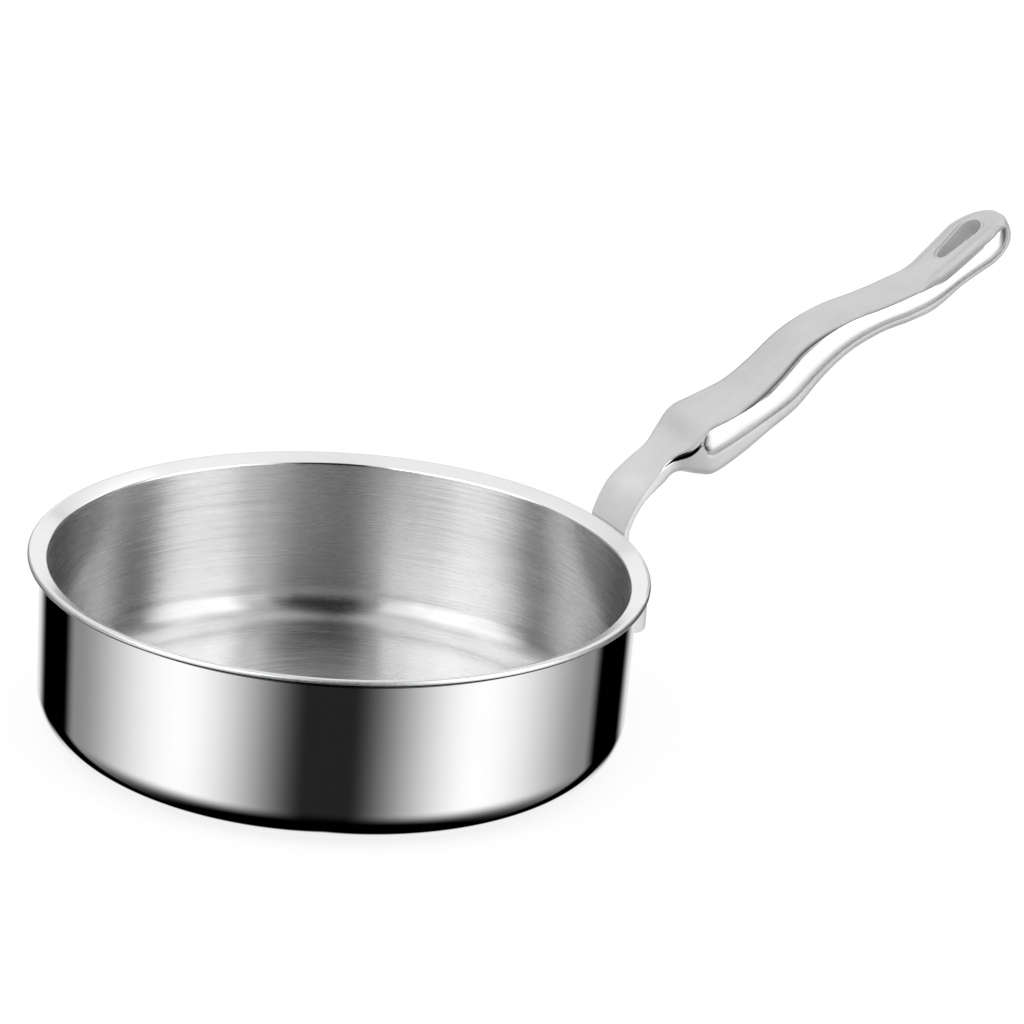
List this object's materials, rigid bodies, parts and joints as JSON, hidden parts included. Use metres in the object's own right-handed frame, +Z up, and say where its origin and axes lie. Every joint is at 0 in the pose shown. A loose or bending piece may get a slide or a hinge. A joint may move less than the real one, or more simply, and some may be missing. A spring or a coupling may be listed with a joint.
{
  "type": "frying pan",
  "caption": "Deep straight-sided clad steel frying pan with a flared pouring rim and a long wavy hollow handle with a hanging hole.",
  "frame": {"origin": "centre of the flat underside, in the plane that the pan stands on", "axes": "+Z up, +X towards the handle"},
  "size_m": [0.4485, 0.256, 0.1944],
  "materials": {
    "polished_steel": "mirror polished",
    "core_aluminium": "plain rolled",
    "satin_steel": "finely brushed round the wall",
    "cast_steel": "cast and blasted, polished along the roll on each side",
    "cover_steel": "satin",
    "weld_steel": "dressed weld bead"
  },
  "bodies": {
    "root": {"outer_ply": "polished_steel", "core_ply": "core_aluminium", "inner_ply": "satin_steel", "mounting_foot": "cast_steel", "foot_weld": "weld_steel", "neck_weld": "weld_steel", "handle_body": "cast_steel", "handle_cover": "cover_steel", "hang_sleeve": "cover_steel"}
  },
  "joints": []
}
